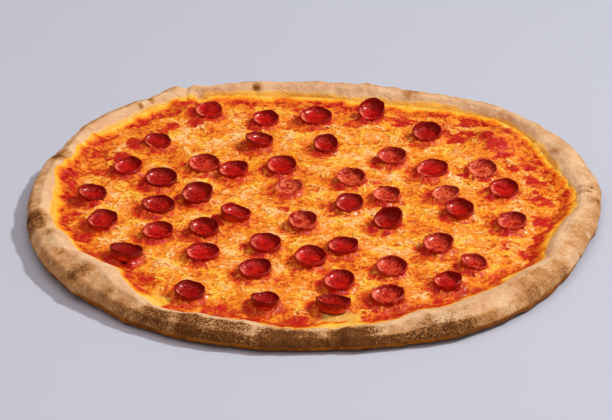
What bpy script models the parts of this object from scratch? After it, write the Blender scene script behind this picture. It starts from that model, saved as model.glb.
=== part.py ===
"""A whole round pizza: puffed crust, tomato sauce, melted cheese and small cupped pepperoni slices.

Metres, +Z up. The origin is the middle of the base, on the table, and -Y is the side nearest the viewer.
The three layers share their rings and columns, so that each one lies evenly on the layer below it.
"""

import math

import bmesh
import bpy
from mathutils import Vector, noise
from mathutils.bvhtree import BVHTree

MM = 0.001

# Layers, from the table up. Touching layers keep a hair's gap between them.
GAP = 0.3 * MM
FLOOR_THICKNESS = 4.5 * MM
SAUCE_THICKNESS = 1.2 * MM
CHEESE_THICKNESS = 2.6 * MM
CHEESE_EDGE_DROP = 1.3 * MM
CHEESE_RELIEF = 0.5 * MM
CHEESE_RELIEF_PITCH = 26 * MM

# Mesh density: directions round the pie, and rings across each layer's hidden faces.
COLUMNS = 108
HIDDEN_RINGS = (0.46, 0.72, 0.86)
CHEESE_RINGS = 12

# The cheese ends at a wandering share of the way from the middle to the foot of the rim, and the sauce
# climbs the first part of the rim's inner slope, where it thins out.
CHEESE_REACH = 0.925
CHEESE_REACH_WANDER = 0.03
SAUCE_CLIMB = 0.42
SAUCE_EDGE_THICKNESS = 0.5 * MM
SLOPE_GAP = 0.5 * MM    # measured upright, so that the gap across the slope stays a hair's

# The rim by direction: degrees, outer radius, radius of the inner foot, and height of the crest, in mm.
RIM_STATIONS = (
    (0, 228, 202, 17),
    (7.5, 232, 205, 16),
    (15, 234, 201, 15),
    (22.5, 236, 206, 15.5),
    (30, 238, 207, 16),
    (37.5, 236, 216, 16),
    (45, 237, 218, 16),
    (52.5, 235, 214, 16.5),
    (60, 233, 205, 17),
    (67.5, 226, 198, 17.5),
    (75, 226, 194, 18),
    (82.5, 223, 195, 18),
    (90, 226, 199, 18),
    (97.5, 230, 204, 18),
    (105, 232, 207, 18),
    (112.5, 231, 216, 18.5),
    (120, 240, 222, 19),
    (127.5, 237, 218, 18),
    (135, 239, 219, 17),
    (142.5, 239, 217, 16.5),
    (150, 234, 215, 16),
    (157.5, 230, 206, 16.5),
    (165, 232, 201, 17),
    (172.5, 229, 204, 17.5),
    (180, 227, 202, 18),
    (187.5, 228, 204, 18.5),
    (195, 229, 197, 20),
    (202.5, 230, 194, 20.5),
    (210, 230, 190, 21),
    (217.5, 231, 179, 22),
    (225, 230, 193, 20),
    (232.5, 230, 201, 18),
    (240, 230, 203, 17),
    (247.5, 229, 195, 16.5),
    (255, 228, 192, 16),
    (262.5, 226, 195, 14),
    (270, 224, 196, 13.5),
    (277.5, 225, 194, 14),
    (285, 226, 195, 14.5),
    (292.5, 229, 185, 16.5),
    (300, 232, 189, 17.5),
    (307.5, 231, 188, 19),
    (315, 228, 190, 19.5),
    (322.5, 225, 192, 20),
    (330, 224, 197, 19.5),
    (337.5, 223, 189, 19.5),
    (345, 223, 186, 19),
    (352.5, 224, 196, 18),
)
RIM_WAVE = 0.07         # seeded unevenness of the crest, as a share of its height
RIM_WAVES_ROUND = 5.0
CREST_INSET = 0.46      # from the outer edge to the crest, as a share of the rim's width
BULGE_HEIGHT = 0.45     # height of the widest point, as a share of the crest's
TOE_INSET = 0.30        # from the outer edge to where the rim meets the table, as a share of its width
MID_TURN = 48           # degrees round the shoulder and the toe, to the ring in the middle of each

# Two gas bubbles that lifted the dough under the toppings: middle, half sizes and height, in mm.
BUBBLES = (
    (152, 118, 30, 34, 10),
    (-110, 184, 20, 20, 9),
)

# Pepperoni slices: middle of the mouth x and y, width, height of the wall, all in mm, then how much
# higher the wall stands on one side, as a share, and the direction of that side in degrees.
SLICES = (
    (-88, 168, 24, 1.8, 0.1, 90),
    (-40, 152, 22, 4.5, 0.2, 60),
    (2, 157, 26, 4.5, 0.2, 90),
    (49, 165, 23, 6.0, 0.5, 70),
    (-129, 111, 22, 3.0, 0.2, 80),
    (-45, 110, 23, 5.5, 0.3, 200),
    (10, 103, 22, 5.0, 0.2, 60),
    (94, 124, 23, 5.5, 0.4, 70),
    (-151, 63, 24, 4.8, 0.1, 100),
    (-89, 68, 26, 3.8, 0.2, 40),
    (-65, 56, 23, 4.8, 0.2, 30),
    (-26, 64, 26, 4.5, 0.1, 60),
    (64, 80, 23, 5.0, 0.2, 60),
    (96, 59, 26, 3.2, 0.2, 60),
    (137, 59, 25, 3.2, 0.2, 60),
    (-123, 40, 25, 5.2, 0.2, 90),
    (-20, 29, 24, 1.8, 0.1, 0),
    (30, 42, 24, 4.5, 0.2, 50),
    (-177, 14, 22, 4.5, 0.3, 150),
    (-93, 12, 26, 5.5, 0.2, 80),
    (58, 12, 22, 4.0, 0.2, 40),
    (105, 16, 22, 2.8, 0.2, 40),
    (152, 23, 25, 3.5, 0.2, 60),
    (-123, -6, 25, 4.8, 0.1, 80),
    (28, -3, 23, 4.0, 0.2, 90),
    (115, -15, 23, 5.5, 0.2, 70),
    (-62, -22, 23, 6.0, 0.3, 190),
    (-166, -32, 25, 4.5, 0.1, 80),
    (-86, -47, 23, 5.5, 0.2, 60),
    (-122, -51, 24, 4.5, 0.1, 80),
    (-9, -36, 24, 5.5, 0.1, 90),
    (58, -35, 22, 6.5, 0.5, 50),
    (155, -35, 24, 4.5, 0.1, 80),
    (-38, -72, 25, 4.8, 0.1, 80),
    (22, -76, 23, 4.5, 0.1, 60),
    (96, -73, 25, 5.0, 0.1, 90),
    (-145, -85, 25, 5.0, 0.3, 250),
    (-86, -87, 25, 4.5, 0.1, 80),
    (-3, -95, 26, 5.2, 0.1, 80),
    (122, -103, 20, 3.8, 0.3, 160),
    (-45, -115, 25, 5.0, 0.1, 60),
    (59, -111, 25, 4.5, 0.1, 80),
    (101, -134, 21, 5.0, 0.2, 40),
    (19, -134, 25, 4.8, 0.1, 60),
    (-94, -149, 23, 4.5, 0.1, 100),
    (55, -156, 25, 4.6, 0.1, 60),
    (-37, -164, 23, 5.0, 0.3, 250),
    (14, -169, 25, 5.6, 0.3, 260),
)
SLICE_SIDES = 14
SLICE_SKIN = 1.5 * MM       # thickness of the sliced sausage
SLICE_FOOT = 0.92           # width of the flat foot, as a share of the mouth's
SLICE_BELLY = (1.0, 0.40)   # the wall's roundest place: share of the mouth's width, share of the height
SLICE_LIP_ROUND = 0.3       # drop of the lip's outer edge, as a share of the skin
SLICE_CURL = 0.12           # how far the mouth is from round
SLICE_CURL_TURN = 67        # degrees between the long ways of one slice's mouth and the next's
SLICE_LEAN = 14.0           # degrees of lean for a slice with the wall doubled on one side
SLICE_CLEARANCE = 0.35 * MM
PROBE_HEIGHT = 100 * MM     # above everything, for feeling down to the cheese under a foot
PROBE_SHARES = (0.0, 0.35, 0.7, 1.0)
PROBE_STEP = 20             # degrees

CRUST_COLOUR = (0.58, 0.36, 0.17)
SAUCE_COLOUR = (0.55, 0.05, 0.01)
CHEESE_COLOUR = (0.85, 0.45, 0.10)
PEPPERONI_COLOUR = (0.35, 0.012, 0.008)


def clear_scene():
    for obj in list(bpy.data.objects):
        bpy.data.objects.remove(obj)


def material(name, colour, roughness):
    made = bpy.data.materials.new(name)
    made.use_nodes = True
    shader = made.node_tree.nodes["Principled BSDF"]
    shader.inputs["Base Color"].default_value = (*colour, 1.0)
    shader.inputs["Roughness"].default_value = roughness
    shader.inputs["Metallic"].default_value = 0.0
    return made


def smooth_between(before, start, end, after, share):
    """A curve through four stations in a row, at a share of the way from the second to the third."""
    slope_in = (end - before) / 2
    slope_out = (after - start) / 2
    squared, cubed = share**2, share**3
    return (
        (2 * cubed - 3 * squared + 1) * start
        + (cubed - 2 * squared + share) * slope_in
        + (3 * squared - 2 * cubed) * end
        + (cubed - squared) * slope_out
    )


def rim_at(angle):
    """Outer radius, inner foot and crest height of the rim in one direction, in metres."""
    count = len(RIM_STATIONS)
    step = 360 / count
    place = math.degrees(angle) % 360 / step
    first = int(place) % count
    share = place - int(place)
    around = [RIM_STATIONS[(first + offset) % count] for offset in (-1, 0, 1, 2)]
    outer, inner, crest = (
        smooth_between(*(station[column] for station in around), share) * MM
        for column in (1, 2, 3)
    )
    spot = Vector((math.cos(angle), math.sin(angle), 0)) * RIM_WAVES_ROUND
    crest *= 1 + RIM_WAVE * noise.noise(spot)
    return outer, inner, crest


def cheese_reach(angle):
    spot = Vector((math.cos(angle), math.sin(angle), 3.0)) * RIM_WAVES_ROUND
    return CHEESE_REACH + CHEESE_REACH_WANDER * noise.noise(spot)


def bubble_lift(x, y):
    """How far the gas bubbles raise the dough and all that lies on it."""
    lift = 0.0
    for middle_x, middle_y, half_x, half_y, height in BUBBLES:
        across = (x / MM - middle_x) / half_x
        along = (y / MM - middle_y) / half_y
        inside = max(0.0, 1 - across**2 - along**2)
        lift += height * MM * inside**2
    return lift


def ring(share_of, height_of):
    """One closed ring of points: both functions take a direction and the rim there."""
    points = []
    for column in range(COLUMNS):
        angle = math.tau * column / COLUMNS
        outer, inner, crest = rim_at(angle)
        radius = share_of(angle, outer, inner, crest)
        x, y = radius * math.cos(angle), radius * math.sin(angle)
        points.append(Vector((x, y, height_of(x, y, outer, inner, crest))))
    return points


def layer_ring(share_of, level):
    """A ring that lies at a level over the dough's floor and follows the bubbles."""
    return ring(
        lambda angle, outer, inner, crest: inner * share_of(angle),
        lambda x, y, outer, inner, crest: level + bubble_lift(x, y),
    )


def fixed(share):
    return lambda angle: share


def hidden_rings(level, ends):
    """The coarse rings that two touching layers share, and then those at the given ends."""
    return [layer_ring(share_of, level) for share_of in [*map(fixed, HIDDEN_RINGS), *ends]]


def solid_from_rings(name, top_pole, rings, bottom_pole, finish):
    """Skins rings of equal length, from the pole above to the pole below, as one closed solid.

    Every four-sided gap is split along the same diagonal, so faces that lie on each other match.
    """
    mesh = bmesh.new()
    top = mesh.verts.new(top_pole)
    bottom = mesh.verts.new(bottom_pole)
    loops = [[mesh.verts.new(point) for point in points] for points in rings]
    sides = len(loops[0])
    for here in range(sides):
        there = (here + 1) % sides
        mesh.faces.new((top, loops[0][here], loops[0][there]))
        mesh.faces.new((bottom, loops[-1][there], loops[-1][here]))
    for upper, lower in zip(loops, loops[1:]):
        inward = Vector(upper[0].co.xy).length > Vector(lower[0].co.xy).length
        for here in range(sides):
            there = (here + 1) % sides
            corners = (upper[here], lower[here], lower[there], upper[there])
            if inward:
                mesh.faces.new((corners[0], corners[1], corners[3]))
                mesh.faces.new((corners[1], corners[2], corners[3]))
            else:
                mesh.faces.new((corners[0], corners[1], corners[2]))
                mesh.faces.new((corners[0], corners[2], corners[3]))
    bmesh.ops.recalc_face_normals(mesh, faces=mesh.faces)
    data = bpy.data.meshes.new(name)
    mesh.to_mesh(data)
    mesh.free()
    data.materials.append(finish)
    data.shade_smooth()
    data.set_sharp_from_angle(angle=math.radians(50))
    obj = bpy.data.objects.new(name, data)
    bpy.context.scene.collection.objects.link(obj)
    return obj


def slope_ring(share, above=0.0):
    """A ring on the rim's inner slope, from its foot at 0 to the crest at 1, or a little above it."""

    def height(x, y, outer, inner, crest):
        rise = (crest - FLOOR_THICKNESS) * math.sin(share * math.pi / 2)
        return FLOOR_THICKNESS + rise + bubble_lift(x, y) * (1 - share) + above

    return ring(
        lambda angle, outer, inner, crest: inner + (1 - CREST_INSET) * (outer - inner) * share,
        height,
    )


def rim_rings():
    """The puffed rim: up its inner slope, over the crest, round the bulge and in under it to the table."""

    def shoulder(turn):
        turn = math.radians(turn)
        return ring(
            lambda angle, outer, inner, crest: outer
            - CREST_INSET * (outer - inner) * (1 - math.sin(turn)),
            lambda x, y, outer, inner, crest: crest
            * (BULGE_HEIGHT + (1 - BULGE_HEIGHT) * math.cos(turn)),
        )

    def toe(turn):
        turn = math.radians(turn)
        return ring(
            lambda angle, outer, inner, crest: outer
            - TOE_INSET * (outer - inner) * (1 - math.cos(turn)),
            lambda x, y, outer, inner, crest: crest * BULGE_HEIGHT * (1 - math.sin(turn)),
        )

    return [
        slope_ring(0),
        slope_ring(SAUCE_CLIMB),
        slope_ring((1 + SAUCE_CLIMB) / 2),
        slope_ring(1),
        shoulder(MID_TURN),
        shoulder(90),
        toe(MID_TURN),
        toe(90),
    ]


def crust(finish):
    """Dough: a thin floor under the toppings, a puffed rim round them and a flat base."""
    floor = hidden_rings(FLOOR_THICKNESS, [cheese_reach])
    middle = Vector((0, 0, FLOOR_THICKNESS))
    return solid_from_rings("crust", middle, [*floor, *rim_rings()], Vector(), finish)


def sauce(finish):
    """Tomato sauce: a thin sheet over the floor and up the rim's foot, bare outside the cheese."""
    low = FLOOR_THICKNESS + GAP
    high = low + SAUCE_THICKNESS
    ends = [cheese_reach, fixed(1.0)]
    edge = SLOPE_GAP + SAUCE_EDGE_THICKNESS
    top = [*hidden_rings(high, ends), slope_ring(SAUCE_CLIMB, edge)]
    under = [*hidden_rings(low, ends), slope_ring(SAUCE_CLIMB, SLOPE_GAP)]
    return solid_from_rings(
        "sauce", Vector((0, 0, high)), top + under[::-1], Vector((0, 0, low)), finish
    )


def cheese(finish):
    """Melted cheese: a sheet with a wandering edge and a gently uneven top."""
    low = FLOOR_THICKNESS + SAUCE_THICKNESS + 2 * GAP
    high = low + CHEESE_THICKNESS

    def relief(x, y):
        return CHEESE_RELIEF * noise.noise(Vector((x, y, 0)) / CHEESE_RELIEF_PITCH)

    def top_ring(share):
        edge = CHEESE_EDGE_DROP if share == 1 else 0.0
        return ring(
            lambda angle, outer, inner, crest: inner * cheese_reach(angle) * share,
            lambda x, y, outer, inner, crest: high - edge + bubble_lift(x, y) + relief(x, y),
        )

    top = [top_ring(number / CHEESE_RINGS) for number in range(1, CHEESE_RINGS + 1)]
    under = hidden_rings(low, [cheese_reach])
    return solid_from_rings(
        "cheese", Vector((0, 0, high)), top + under[::-1], Vector((0, 0, low)), finish
    )


def level_under(tree, x, y, reach):
    """The highest point of the cheese under a round foot."""
    levels = []
    for share in PROBE_SHARES:
        for turn in range(0, 360, PROBE_STEP):
            angle = math.radians(turn)
            aside = Vector((math.cos(angle), math.sin(angle), 0)) * reach * share
            hit = tree.ray_cast(Vector((x, y, PROBE_HEIGHT)) + aside, Vector((0, 0, -1)))[0]
            if hit:
                levels.append(hit.z)
    return max(levels)


def pepperoni(number, slice_row, tree, finish):
    """One slice of thin sausage that cupped in the oven: a flat foot, a curled wall and an open mouth."""
    mouth_x, mouth_y, width, wall, lift, toward = slice_row
    half, wall = width / 2 * MM, wall * MM
    toward = math.radians(toward)
    curl_direction = math.radians(number * SLICE_CURL_TURN)

    def turn_of(side):
        return math.tau * side / SLICE_SIDES

    def mouth_radius(turn):
        return half * (1 + SLICE_CURL / 2 * math.cos(2 * (turn - curl_direction)))

    def lip(turn):
        return wall * (1 + lift * math.cos(turn - toward)) + SLICE_SKIN

    def cup_ring(radius_of, height_of):
        turns = map(turn_of, range(SLICE_SIDES))
        return [
            Vector((radius_of(t) * math.cos(t), radius_of(t) * math.sin(t), height_of(t)))
            for t in turns
        ]

    belly_width, belly_height = SLICE_BELLY
    inside = cup_ring(lambda t: mouth_radius(t) * SLICE_FOOT - SLICE_SKIN, lambda t: SLICE_SKIN)
    lip_inner = cup_ring(lambda t: mouth_radius(t) - SLICE_SKIN, lip)
    lip_outer = cup_ring(mouth_radius, lambda t: lip(t) - SLICE_LIP_ROUND * SLICE_SKIN)
    belly = cup_ring(lambda t: mouth_radius(t) * belly_width, lambda t: lip(t) * belly_height)
    foot = cup_ring(lambda t: mouth_radius(t) * SLICE_FOOT, lambda t: 0.0)
    obj = solid_from_rings(
        f"pepperoni_{number:02d}",
        Vector((0, 0, SLICE_SKIN)),
        [inside, lip_inner, lip_outer, belly, foot],
        Vector(),
        finish,
    )
    lean = math.radians(SLICE_LEAN) * lift
    obj.rotation_mode = "AXIS_ANGLE"
    obj.rotation_axis_angle = (lean, math.sin(toward), -math.cos(toward), 0)
    low_edge = half * SLICE_FOOT * math.sin(lean)
    seat = level_under(tree, mouth_x * MM, mouth_y * MM, half * SLICE_FOOT)
    obj.location = (mouth_x * MM, mouth_y * MM, seat + low_edge + SLICE_CLEARANCE)
    return obj


def main():
    clear_scene()
    crust(material("baked_dough", CRUST_COLOUR, 0.75))
    sauce(material("tomato_sauce", SAUCE_COLOUR, 0.35))
    cheese_sheet = cheese(material("melted_cheese", CHEESE_COLOUR, 0.40))
    bpy.context.view_layer.update()
    tree = BVHTree.FromObject(cheese_sheet, bpy.context.evaluated_depsgraph_get())
    sausage = material("pepperoni", PEPPERONI_COLOUR, 0.30)
    for number, slice_row in enumerate(SLICES, 1):
        pepperoni(number, slice_row, tree, sausage)


main()
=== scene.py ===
"""A whole round pepperoni pizza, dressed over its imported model.

Metres, +Z up. The base lies on the table at z = 0, and -Y is the side nearest the viewer.
"""

import math

import bpy
import numpy as np
from mathutils import Matrix, Vector, noise
from mathutils.bvhtree import BVHTree


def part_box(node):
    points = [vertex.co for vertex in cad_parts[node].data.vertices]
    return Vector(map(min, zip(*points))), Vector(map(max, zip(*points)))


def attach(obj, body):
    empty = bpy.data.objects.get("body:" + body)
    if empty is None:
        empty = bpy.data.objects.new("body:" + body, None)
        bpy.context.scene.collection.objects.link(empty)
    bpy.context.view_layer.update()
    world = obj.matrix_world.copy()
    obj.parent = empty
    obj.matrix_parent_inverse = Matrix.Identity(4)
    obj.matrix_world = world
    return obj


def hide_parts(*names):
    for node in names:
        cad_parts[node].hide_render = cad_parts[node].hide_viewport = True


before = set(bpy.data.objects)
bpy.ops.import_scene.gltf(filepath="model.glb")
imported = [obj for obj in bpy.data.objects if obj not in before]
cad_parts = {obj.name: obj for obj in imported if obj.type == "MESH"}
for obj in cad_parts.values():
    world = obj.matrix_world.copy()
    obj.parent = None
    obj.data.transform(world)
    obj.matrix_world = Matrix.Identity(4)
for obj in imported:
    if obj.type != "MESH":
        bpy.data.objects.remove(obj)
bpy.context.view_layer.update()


# The crust is one round of stretched dough, thin under the toppings and puffed into a rim round them.
# It is baked bread: cream inside the rim, browned and speckled on its outer shoulder, deck-browned
# underneath. Its underside is also darker as painted shade, and so is the outer face on the side nearest the
# viewer.
# Its form is felt from the imported solid, rounded off, then lumped, blistered and wrinkled.

MM = 0.001
OUTSIDE = 0.3               # where the feeling rays start beside the pie, and how far they go inwards
INWARDS = 0.15
OVERHEAD = 0.1
SOLID_COLUMNS = 108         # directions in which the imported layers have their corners
CRUST_COLUMNS = 1080
CRUST_ROWS = 66             # from the sauce over the crest and in under the bulge
CORE_HEIGHT = 0.42          # of the point inside the rim that it is felt from, as a share of the crest's
FEELERS = np.radians(np.linspace(178, -89, 90))
CREST_DIP = 0.4 * MM        # fall behind the rim's crest, before any bubble further in
CREST_SHARE = 0.46          # of the rim's width that lies outside its crest
SWELL = 1.02                # makes up for what rounding the facets takes off
DOUGH_LEVEL = 4.4 * MM      # top of the dough under the toppings
DOUGH_SHARES = (0.4, 0.8, 0.95)
UNDER_SHARES = (0.96, 0.88, 0.76, 0.6, 0.4, 0.2)
UNDER_LUMPS = (11 * MM, 0.35 * MM)
LUMPS = ((27 * MM, 1.5 * MM), (11 * MM, 0.75 * MM), (4.5 * MM, 0.25 * MM))      # size and height
HIGHEST = 22.6 * MM         # the rim's lumps are held back above this
WRINKLES = (3.0 * MM, 0.25 * MM)
BLISTER_PITCH = 17 * MM
BLISTER_HEIGHT = 0.8 * MM

# Where the rim puffed up more: x, y and reach in mm, then how much in mm.
PUFFS = (
    (168, -138, 34, 1.8), (-168, -96, 20, 1.8), (-136, -134, 16, 1.0), (-120, 203, 13, 1.5),
    (-140, -140, 34, 1.6), (-200, -60, 26, 0.4), (-96, -196, 30, 1.0), (208, -30, 30, 1.2),
    (200, 75, 26, 1.0), (90, -196, 30, 0.8),
)

# Creases in the rim: from x, y to x, y, then half width and depth, all in mm.
CREASES = (
    (204, 27, 222, 19, 2.2, 1.6), (196, 20, 220, 14, 2.6, 2.4), (-48, 196, -49, 210, 4.5, 1.6),
    (15, -206, 18, -226, 9.0, 1.8), (-131, 194, -134, 208, 3.5, 1.6), (-185, -92, -196, -99, 6.0, 1.2),
    (-120, -170, -127, -182, 6.0, 1.0), (196, -80, 208, -86, 6.0, 1.0), (-196, 84, -206, 92, 5.0, 1.0),
)

# Where the rim took more of the oven's heat: x, y and reach in mm, then how much.
TOASTED = (
    (-219, -42, 25, 1.2), (-206, -68, 14, 0.9), (-207, 78, 20, 0.8), (-196, 98, 14, 0.6),
    (-178, -126, 15, 0.8), (-152, -152, 15, 0.6), (-112, -186, 18, 0.7), (-90, -200, 18, 0.6),
    (170, -133, 20, 0.7), (160, -152, 18, 0.5), (190, -118, 13, 0.4), (-137, 181, 5, 1.1),
    (-145, 172, 4, 1.1), (-31, 196, 4, 0.9), (-122, 208, 16, 0.8), (-48, 207, 9, 0.8),
    (202, 11, 14, 0.9), (219, 2, 12, 0.5), (60, -205, 30, 0.5), (193, 93, 18, 0.6),
    (206, -60, 22, 0.4), (110, 181, 14, 0.5), (84, 195, 12, 0.5), (-170, 128, 14, 0.6),
    (-18, -222, 34, 1.5), (30, -222, 30, 1.5), (-60, -214, 20, 0.6), (110, -196, 20, 0.2),
)


def felt(obj):
    """An object's surface, for feeling it with rays."""
    mesh = obj.data
    return BVHTree.FromPolygons(
        [v.co for v in mesh.vertices], [tuple(p.vertices) for p in mesh.polygons]
    )


def direction(angle):
    return Vector((math.cos(angle), math.sin(angle), 0))


def solid_angles():
    """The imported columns' directions, a hair off the solid's edges so that no ray slips between faces."""
    return [math.tau * column / SOLID_COLUMNS + 1e-4 for column in range(SOLID_COLUMNS)]


def rounded(columns, count):
    """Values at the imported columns, as a smooth closed curve with more points round the pie."""
    place = np.arange(count) * len(columns) / count
    first = place.astype(int)
    share = (place - first).reshape(-1, *[1] * (columns.ndim - 1))
    before, start, end, after = (columns[(first + k) % len(columns)] for k in (-1, 0, 1, 2))
    bend = 2 * before - 5 * start + 4 * end - after + share * (3 * (start - end) + after - before)
    return start + 0.5 * share * (end - before + share * bend)


def grain(points, size, octaves=1, shift=0.0):
    """Smooth noise at each point, about -1 to 1, with lumps of one size."""
    places = (np.asarray(points).reshape(-1, 3) / size + shift).tolist()
    return np.array([noise.fractal(place, 1.0, 2.0, octaves) for place in places])


def cells(points, pitch):
    """For each point, its distance from the middle of its cell, in cells, and a number for that cell."""
    near, number = [], []
    for place in (np.asarray(points).reshape(-1, 3) / pitch).tolist():
        gaps, middles = noise.voronoi(place)
        near.append(gaps[0])
        number.append(noise.cell(middles[0] * 7.31))
    return np.array(near), np.array(number)


def fade(value, start, end):
    """0 at the start and 1 at the end, eased at both."""
    share = np.clip((value - start) / (end - start), 0, 1)
    return share * share * (3 - 2 * share)


def spots(points, table):
    """How much each point lies in a table's round spots: x, y, reach in mm and strength."""
    found = np.zeros(len(points))
    for x, y, reach, strength in table:
        away = np.hypot(points[:, 0] / MM - x, points[:, 1] / MM - y) / reach
        found = np.maximum(found, strength * (1 - fade(away, 0.2, 1.0)))
    return found


def creased(points, table):
    """How deep each point lies in a table's straight creases: two ends, half width and depth in mm."""
    depth = np.zeros(len(points))
    for x, y, end_x, end_y, half, deep in table:
        along = np.array([end_x - x, end_y - y], float)
        away = points[:, :2] / MM - (x, y)
        share = np.clip(away @ along / (along @ along), 0, 1)
        gap = np.hypot(*(away - share[:, None] * along).T) / half
        depth = np.maximum(depth, deep * (1 - fade(gap, 0.0, 1.0)))
    return depth


def closed_skin(name, top, rings, bottom, attributes, material):
    """A closed mesh through rings of points, rings counterclockwise, from a top pole to a bottom one."""
    sides = len(rings[0])
    points = np.vstack([top, *rings, bottom])
    here = np.arange(sides)
    there = (here + 1) % sides
    last = len(points) - 1
    faces = [(0, 1 + a, 1 + b) for a, b in zip(here.tolist(), there.tolist())]
    for row in range(len(rings) - 1):
        upper, lower = 1 + row * sides, 1 + (row + 1) * sides
        quads = np.stack([upper + here, lower + here, lower + there, upper + there], axis=1)
        faces += [tuple(quad) for quad in quads.tolist()]
    base = 1 + (len(rings) - 1) * sides
    faces += [(last, base + b, base + a) for a, b in zip(here.tolist(), there.tolist())]
    return skin(name, points, faces, attributes, material)


def skin(name, points, faces, attributes, material):
    mesh = bpy.data.meshes.new(name)
    mesh.from_pydata(points.tolist(), [], faces)
    for key, values in attributes.items():
        mesh.attributes.new(key, "FLOAT", "POINT").data.foreach_set(
            "value", np.asarray(values, np.float32)
        )
    mesh.materials.append(material)
    mesh.shade_smooth()
    obj = bpy.data.objects.new(name, mesh)
    bpy.context.scene.collection.objects.link(obj)
    return obj


class Tone:
    """An output of a shader node: a number, colour or vector that varies over a surface.

    Sums and products of tones add Math nodes; node() adds any other kind.
    """

    def __init__(self, tree, socket=None):
        self.tree, self.socket = tree, socket

    def node(self, kind, settings=None, sockets=None, output=0):
        made = self.tree.nodes.new(kind if "Node" in kind else "ShaderNode" + kind)
        for name, value in (settings or {}).items():
            setattr(made, name, value)
        for name, value in (sockets or {}).items():
            if isinstance(value, Tone):
                self.tree.links.new(value.socket, made.inputs[name])
            else:
                made.inputs[name].default_value = value
        return Tone(self.tree, made.outputs[output])

    def beside(self, output):
        """Another output of the same node."""
        return Tone(self.tree, self.socket.node.outputs[output])

    def math(self, operation, *values):
        return self.node("Math", {"operation": operation}, dict(enumerate(values)))

    def __add__(self, other):
        return self.math("ADD", self, other)

    def __sub__(self, other):
        return self.math("SUBTRACT", self, other)

    def __rsub__(self, other):
        return self.math("SUBTRACT", other, self)

    def __mul__(self, other):
        return self.math("MULTIPLY", self, other)

    def __abs__(self):
        return self.math("ABSOLUTE", self)

    __radd__ = __add__
    __rmul__ = __mul__

    def eased(self, start, end):
        """0 at the start and 1 at the end, eased at both."""
        return self.node(
            "MapRange",
            {"interpolation_type": "SMOOTHSTEP"},
            {"Value": self, "From Min": start, "From Max": end},
        )

    def blend(self, first, second):
        """The first colour where this tone is 0, and the second where it is 1."""
        settings = {"data_type": "RGBA", "clamp_factor": True}
        first, second = (c if isinstance(c, Tone) else (*c, 1) for c in (first, second))
        return self.node("Mix", settings, {0: self, 6: first, 7: second}, output=2)

    def attribute(self, name):
        """One of the piece's own attributes."""
        return self.node("Attribute", {"attribute_name": name}, output="Fac")

    def place(self, shift):
        """The place on the piece, moved along so that no two patterns of one size agree."""
        place = self.node("TexCoord", output="Object")
        return self.node("Mapping", {}, {"Vector": place, "Location": (shift, shift, shift)})

    def mottle(self, size, detail=2.0, distortion=0.0, shift=0.0):
        """Noise with lumps of one size, about 0.25 to 0.75."""
        sockets = {"Vector": self.place(shift), "Scale": 1 / size, "Detail": detail, "Distortion": distortion}
        return self.node("TexNoise", {}, sockets)

    def dots(self, pitch, shift=0.0):
        """Distance from the nearest of scattered points, in pitches."""
        return self.node("TexVoronoi", {}, {"Vector": self.place(shift), "Scale": 1 / pitch})


def finish(made, colour, roughness, bump, bump_height, wet=None, **constants):
    """Wires colour, roughness, relief and a wet coat into a material; constants are its other sockets."""
    shader = made.node_tree.nodes["Principled BSDF"]
    for key, value in constants.items():
        shader.inputs[key.replace("_", " ")].default_value = value
    links = made.node_tree.links
    links.new(colour.socket, shader.inputs["Base Color"])
    links.new(roughness.socket, shader.inputs["Roughness"])
    if wet:
        links.new(wet.socket, shader.inputs["Coat Weight"])
    relief = bump.node("Bump", {}, {"Height": bump, "Distance": bump_height, "Strength": 1.0})
    links.new(relief.socket, shader.inputs["Normal"])
    return made


def blank(name):
    """A new material, and an empty tone to start its nodes from."""
    made = bpy.data.materials.new(name)
    made.use_nodes = True
    return made, Tone(made.node_tree)


def baked_dough():
    made, dough = blank("baked_dough")
    toast, speckle, oil, under = (
        dough.attribute(key) for key in ("toast", "speckle", "oil", "under")
    )
    patches = dough.mottle(17 * MM, 3.0, 0.4)
    fine = dough.mottle(2.6 * MM, 3.0, 0.8)
    worms = dough.mottle(2.2 * MM, 2.0, 1.6, 0.3)
    pores = dough.mottle(1.1 * MM, 1.0, 0.4, 0.9)
    blotches = dough.mottle(7 * MM, 3.0, 0.6, 0.2)
    # The toast value carries real toasting, and painted shade on the side nearest the viewer.
    brown = toast + (patches - 0.5) * 0.8 + (blotches - 0.5) * 0.8 + (fine - 0.5) * 0.9 + (pores - 0.5) * 0.9
    cream = patches.eased(0.35, 0.65).blend((0.73, 0.475, 0.260), (0.655, 0.375, 0.200))
    colour = brown.eased(0.10, 0.62).blend(cream, (0.55, 0.255, 0.085))
    colour = brown.eased(0.50, 1.15).blend(colour, (0.160, 0.050, 0.009))
    pitted = (toast + 0.35 + (blotches - 0.5)).eased(0.1, 0.9) * pores.eased(0.53, 0.36)
    colour = (pitted * 0.5).blend(colour, (0.28, 0.105, 0.025))
    marks = (worms + (pores - 0.5) * 0.5 + (speckle - 0.7) * 0.16).eased(0.46, 0.59)
    colour = (marks * speckle.eased(0.05, 0.95)).blend(colour, (0.100, 0.031, 0.006))
    butter = oil + (fine - 0.5) * 0.3 + (blotches - 0.5) * 0.6
    colour = (butter.eased(0.15, 0.80) * 0.85).blend(colour, (0.84, 0.50, 0.15))
    colour = (butter.eased(0.60, 1.05) * 0.9).blend(colour, (0.88, 0.42, 0.035))
    # Faces turned down get the deck's browning, darkened further as painted shade under the rim.
    deck = dough.mottle(9 * MM, 4.0, 0.6, 0.7).eased(0.42, 0.62)
    scorch_and_shade = deck.blend((0.42, 0.120, 0.008), (0.24, 0.062, 0.004))
    colour = under.blend(colour, scorch_and_shade)
    relief = worms * 0.5 + fine * 0.8 + pores * 0.6
    rough = 0.86 - oil * 0.35
    return finish(made, colour, rough, relief, 1.0 * MM, Specular_IOR_Level=0.12)


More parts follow.
